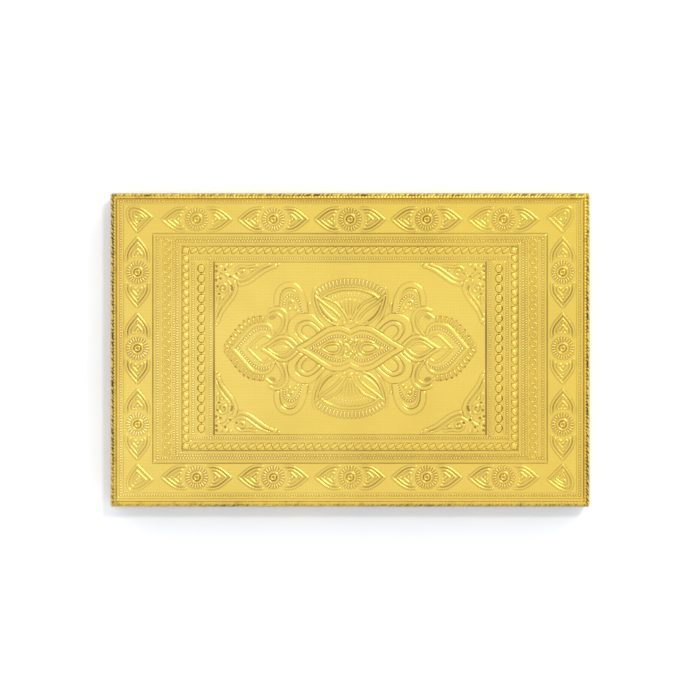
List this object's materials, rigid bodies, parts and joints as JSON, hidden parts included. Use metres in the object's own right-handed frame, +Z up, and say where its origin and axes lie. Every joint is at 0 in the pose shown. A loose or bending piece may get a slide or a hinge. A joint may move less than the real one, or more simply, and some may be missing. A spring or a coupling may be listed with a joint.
{
  "type": "paperweight",
  "caption": "Flat rectangular desk paperweight: a ballasted wooden block clad in stamped ornamental brass sheet, with folded side strips and a felt base.",
  "frame": {"origin": "on the underside of the felt pad, in the middle of the block's footprint", "axes": "+X along the long side, +Y towards the back long side, +Z up out of the stamped top"},
  "size_m": [0.152, 0.0996, 0.02],
  "materials": {
    "stamped_brass": "stamped, bright gold-toned",
    "strip_brass": "stamped, slightly darkened in the hollows",
    "core_wood": "planed, unvarnished",
    "panel_board": "smooth hardboard",
    "ballast_steel": "mill scale",
    "screw_steel": "zinc plated",
    "tack_brass": "plain",
    "felt": "wool felt"
  },
  "bodies": {
    "root": {"top_sheet": "stamped_brass", "side_strip_front": "strip_brass", "side_strip_back": "strip_brass", "side_strip_left": "strip_brass", "side_strip_right": "strip_brass", "wood_core": "core_wood", "base_panel": "panel_board", "ballast_plate": "ballast_steel", "ballast_screws": "screw_steel", "base_screws": "screw_steel", "cladding_tacks": "tack_brass", "felt_pad": "felt"}
  },
  "joints": []
}
